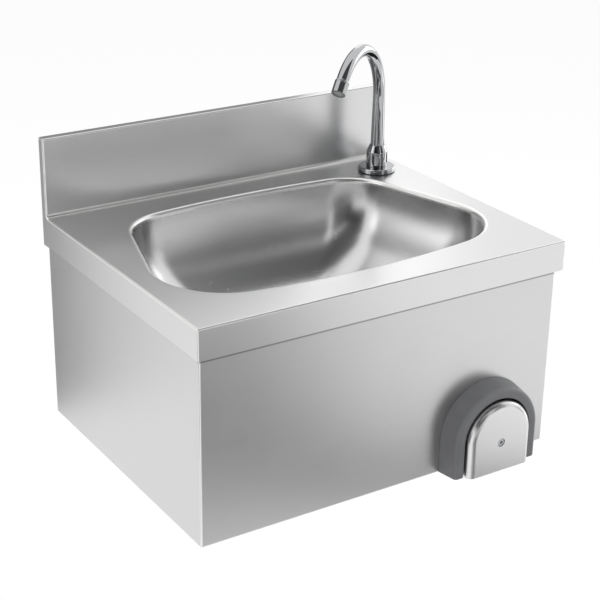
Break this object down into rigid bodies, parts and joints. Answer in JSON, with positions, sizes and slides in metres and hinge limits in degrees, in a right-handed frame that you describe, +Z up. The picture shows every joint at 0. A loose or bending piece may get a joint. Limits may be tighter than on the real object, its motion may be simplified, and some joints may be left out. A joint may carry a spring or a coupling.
{
  "type": "hand wash sink",
  "caption": "Wall-hung stainless steel hand wash sink with a splash upstand, a pressed bowl, a swivelling swan-neck tap and a knee-operated push valve.",
  "frame": {"origin": "on the wall face, half way along the sink, at the height of the deck", "axes": "+X along the wall to the right as the user sees it, +Y into the wall, +Z up"},
  "size_m": [0.5, 0.418, 0.4559],
  "materials": {
    "brushed_stainless": "satin, brushed along its length",
    "polished_chrome": "polished",
    "grey_plastic": "matt moulded",
    "black_rubber": "matt",
    "brass": "machined",
    "zinc_fastener": "bright zinc plated",
    "bent_pipe": "drawn stainless tube",
    "white_plastic": "moulded"
  },
  "bodies": {
    "sink": {"worktop": "brushed_stainless", "bowl": "brushed_stainless", "cabinet": "brushed_stainless", "rear_rail": "zinc_fastener", "deck_studs": "zinc_fastener", "stud_washers": "zinc_fastener", "stud_nuts": "zinc_fastener", "drain_upper_seal": "black_rubber", "drain_body": "polished_chrome", "drain_lower_seal": "black_rubber", "drain_washer": "zinc_fastener", "drain_nut": "brass", "strainer": "polished_chrome", "strainer_screw": "polished_chrome", "tap_gasket": "black_rubber", "tap_flange": "polished_chrome", "tap_body": "polished_chrome", "spout_collar": "polished_chrome", "tap_under_gasket": "black_rubber", "tap_washer": "zinc_fastener", "tap_backnut": "brass", "knee_guard": "grey_plastic", "guard_screws": "zinc_fastener", "valve_bonnet": "brass", "stem_ring": "black_rubber", "panel_locknut": "brass", "valve_body": "brass", "inlet_seal": "black_rubber", "inlet_nipple": "brass", "return_spring": "zinc_fastener", "lower_union_olive": "brass", "lower_union_nut": "brass", "pipe_adapter": "brass", "upper_union_olive": "brass", "upper_union_nut": "brass", "supply_pipe": "bent_pipe"},
    "knee_pad": {"push_pad": "brushed_stainless", "pad_core": "grey_plastic", "pad_screw": "zinc_fastener", "plunger": "brass", "poppet": "black_rubber", "poppet_nut": "brass"},
    "spout": {"spout": "polished_chrome", "spout_rings": "black_rubber", "aerator_shell": "polished_chrome", "aerator_seal": "black_rubber", "aerator_insert": "white_plastic"}
  },
  "joints": [
    {"name": "knee_push", "type": "slide", "parent": "sink", "child": "knee_pad", "axis": [0, 1, 0], "range_m": [0, 0.008], "stiffness_N_per_m": 1500, "springref_m": -0.008, "deforming": ["return_spring"]},
    {"name": "spout_swivel", "type": "hinge", "parent": "sink", "child": "spout", "pos_m": [0.205, -0.062, 0], "axis": [0, 0, 1], "range_deg": [-55, 165]}
  ]
}
